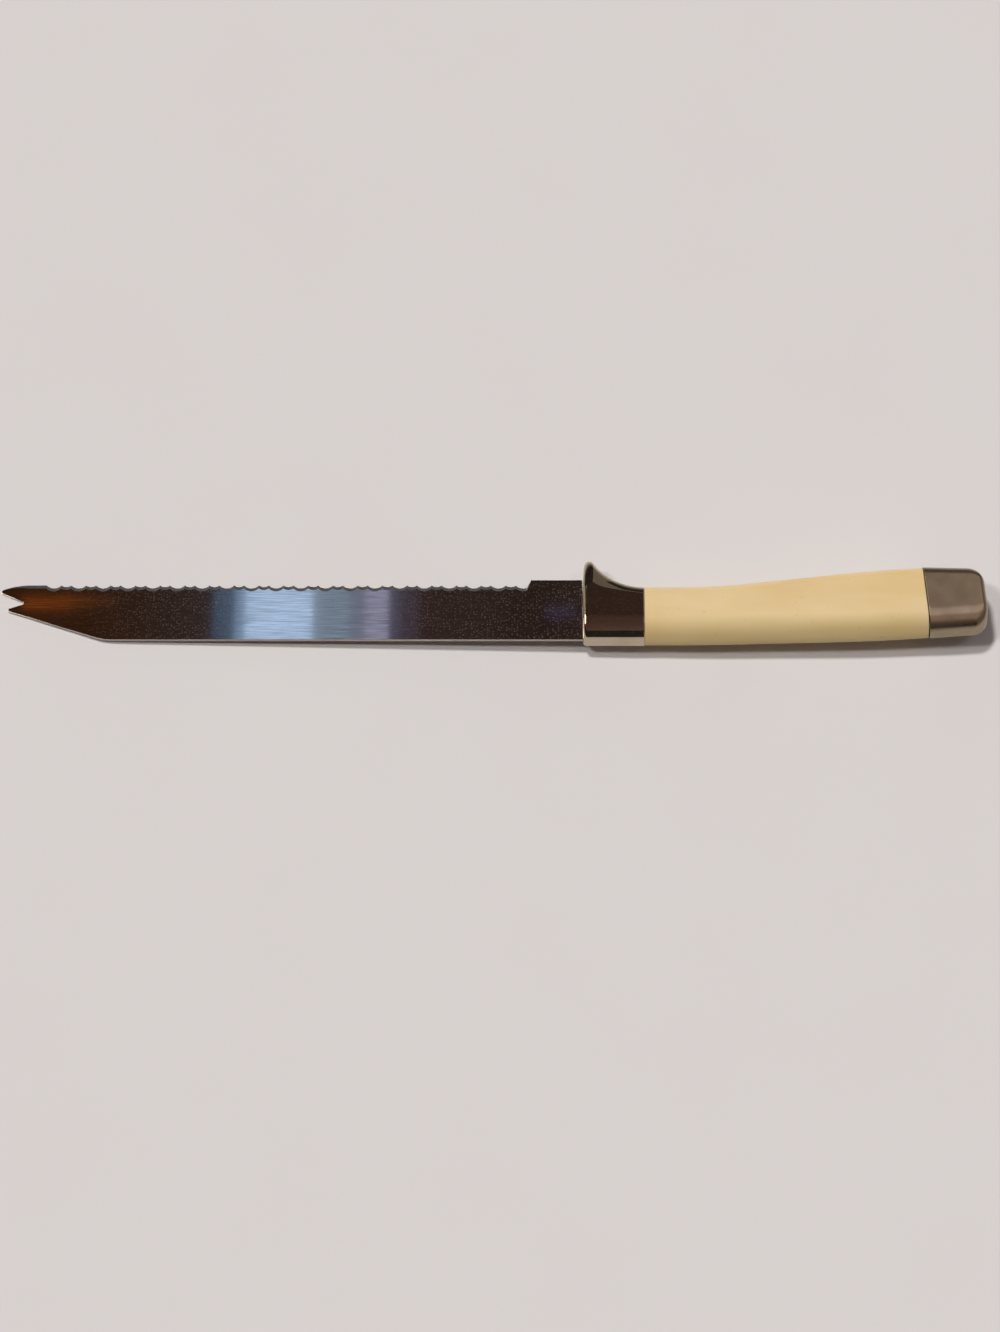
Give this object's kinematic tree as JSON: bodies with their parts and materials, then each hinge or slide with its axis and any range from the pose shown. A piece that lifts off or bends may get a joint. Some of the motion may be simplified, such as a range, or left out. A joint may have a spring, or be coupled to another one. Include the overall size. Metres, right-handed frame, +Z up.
{
  "type": "carving knife",
  "caption": "Carving knife with a fork-tipped scalloped blade, plated bolster with finger guard, flat-sided cream grip and plated end cap.",
  "frame": {"origin": "middle of the underside of the knife as it lies on its side", "axes": "+X from the blade's tip to the butt, +Y towards the cutting edge and the guard's tip, +Z up through the thickness"},
  "size_m": [0.3442, 0.0304, 0.0134],
  "materials": {
    "blade_steel": "stainless steel, polished lengthwise",
    "bolster_plate": "polished nickel plate",
    "cap_plate": "satin nickel plate, handled dull",
    "grip_plastic": "cream moulded plastic, half gloss",
    "fastener_steel": "plain turned steel",
    "cement": "set filler cement"
  },
  "bodies": {
    "root": {"blade": "blade_steel", "bolster_guard": "bolster_plate", "handle_grip": "grip_plastic", "end_cap": "cap_plate", "tang_rod": "fastener_steel", "tang_washer": "fastener_steel", "spring_washer": "fastener_steel", "tang_nut": "fastener_steel", "cap_cement": "cement"}
  },
  "joints": []
}
